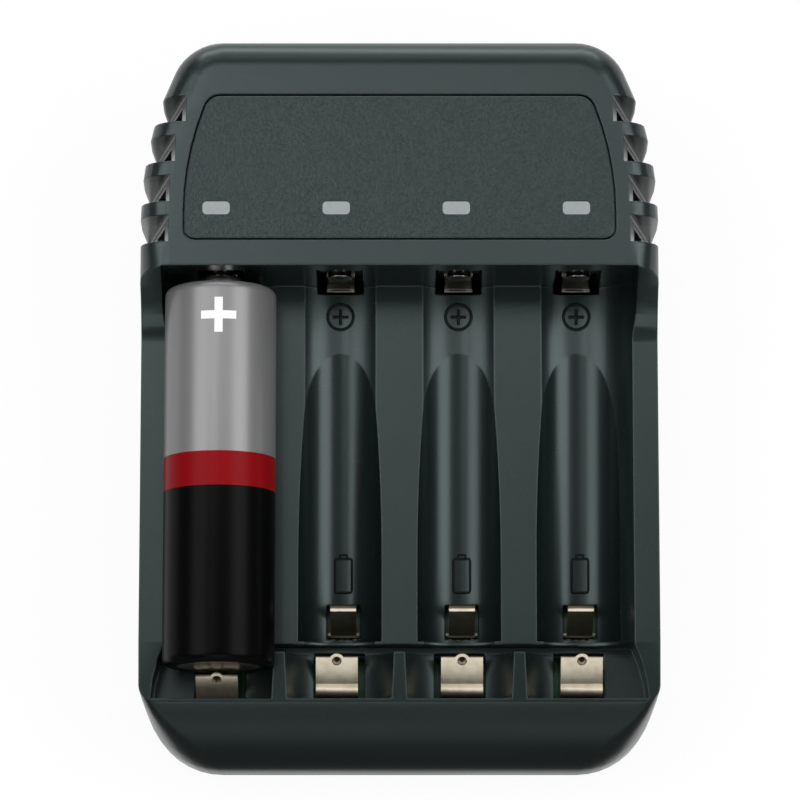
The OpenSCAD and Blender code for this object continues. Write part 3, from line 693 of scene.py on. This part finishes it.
# Matt paper has no gloss: it is plain white to the eye, and a dim warm grey to the light it throws back
paper, tree, shader = start_material("studio_paper_white", PAPER, roughness=0.9)
rays = add_node(tree, "ShaderNodeLightPath")
place = add_node(tree, "ShaderNodeTexCoord")
parts = add_node(tree, "ShaderNodeSeparateXYZ", {"Vector": place.outputs["Object"]})
share = add_node(tree, "ShaderNodeMapRange", {"Value": parts.outputs["Y"]},
                 {"From Min": FRONT[0], "From Max": FRONT[1]})
front = add_node(tree, "ShaderNodeValToRGB", {"Fac": share.outputs["Result"]})
set_stops(front.color_ramp, FRONT_SHADOW_TONES)
tone = add_node(tree, "ShaderNodeMix",
                {"Factor": rays.outputs["Is Camera Ray"], "A": front.outputs["Color"]},
                {"B": WHITE}, data_type="RGBA")
glow = add_node(tree, "ShaderNodeEmission", {"Color": tone.outputs["Result"]}, {"Strength": 1})
shadow = add_node(tree, "ShaderNodeMixShader", {1: shader.outputs[0], 2: glow.outputs[0]}, {0: WHITE_SHARE})
mirrored = add_node(tree, "ShaderNodeMath",
                    {0: rays.outputs["Is Glossy Ray"], 1: rays.outputs["Is Transmission Ray"]},
                    operation="MAXIMUM")
shown = add_node(tree, "ShaderNodeMath", {0: rays.outputs["Is Camera Ray"], 1: mirrored.outputs[0]},
                 operation="MAXIMUM")
dull = add_node(tree, "ShaderNodeBsdfDiffuse", values={"Color": linear(PAPER_IN_ROOM)})
seen = add_node(tree, "ShaderNodeMixShader",
                {0: shown.outputs[0], 1: dull.outputs[0], 2: shadow.outputs[0]})
tree.links.new(seen.outputs[0], tree.nodes["Material Output"].inputs["Surface"])
half = FLOOR_SIZE / 2
corners = [(-half, -half, 0), (half, -half, 0), (half, half, 0), (-half, half, 0)]
mesh = bpy.data.meshes.new("floor")
mesh.from_pydata(corners, [], [(0, 1, 2, 3)])
mesh.materials.append(paper)
floor = bpy.data.objects.new("floor", mesh)
bpy.context.scene.collection.objects.link(floor)

# Light
# A soft box over the head with a narrow card left of it, a strip and a card low behind the head,
# a strip on each side whose long reflections run down the troughs, and a card over the tail
# that brightens the spring leaves. The room round them is dim.
LAMP_DISTANCE = 0.75
# Name, degrees to the right and to the back from overhead, width and depth, and radiance
LAMPS = (
    ("soft_box", (0, 17), (0.7, 0.2), 1.55),
    ("left_card", (-11.5, 12), (0.12, 0.5), 1.8),
    ("tail_card", (0, -57), (0.5, 0.5), 1.3),
    ("back_strip", (0, 80), (0.8, 0.26), 3.4),
    ("back_card", (0, 58), (0.8, 0.36), 0.9),
    ("strip_left", (-39, 2), (0.4, 0.8), 2.5),
    ("strip_right", (42, 2), (0.42, 0.8), 3),
)
ROOM_STRENGTH = 0.2
for name, (right, back), (width, depth), radiance in LAMPS:
    lamp_data = bpy.data.lights.new(name, "AREA")
    lamp_data.shape = "RECTANGLE"
    lamp_data.size, lamp_data.size_y = width, depth
    lamp_data.energy = radiance * math.pi * width * depth
    lamp = bpy.data.objects.new(name, lamp_data)
    way = Vector((math.tan(math.radians(right)), math.tan(math.radians(back)), 1)).normalized()
    across = Vector((0, 1, 0)).cross(way).normalized()
    turn = Matrix((across, way.cross(across), way)).transposed()
    lamp.matrix_world = Matrix.Translation(LAMP_DISTANCE * way) @ turn.to_4x4()
    bpy.context.scene.collection.objects.link(lamp)
world = bpy.data.worlds.new("room")
world.use_nodes = True
room = world.node_tree.nodes["Background"]
room.inputs["Color"].default_value = WHITE
room.inputs["Strength"].default_value = ROOM_STRENGTH
bpy.context.scene.world = world
bpy.context.scene.view_settings.view_transform = "Standard"

# Camera
# It looks down on the charger from the tail's side, as the photograph does, through a long lens
# that keeps the rails nearly parallel.
ELEVATION = math.radians(79.52)
DISTANCE = 0.62
TARGET = Vector((0.07, 1.49, 12)) * MM
SENSOR_WIDTH = 36
LENS = 216.5
camera_data = bpy.data.cameras.new("camera")
camera_data.sensor_width = SENSOR_WIDTH
camera_data.lens = LENS
camera = bpy.data.objects.new("camera", camera_data)
camera.location = TARGET + DISTANCE * Vector((0, -math.cos(ELEVATION), math.sin(ELEVATION)))
camera.rotation_euler = (math.pi / 2 - ELEVATION, 0, 0)
bpy.context.scene.collection.objects.link(camera)
bpy.context.scene.camera = camera
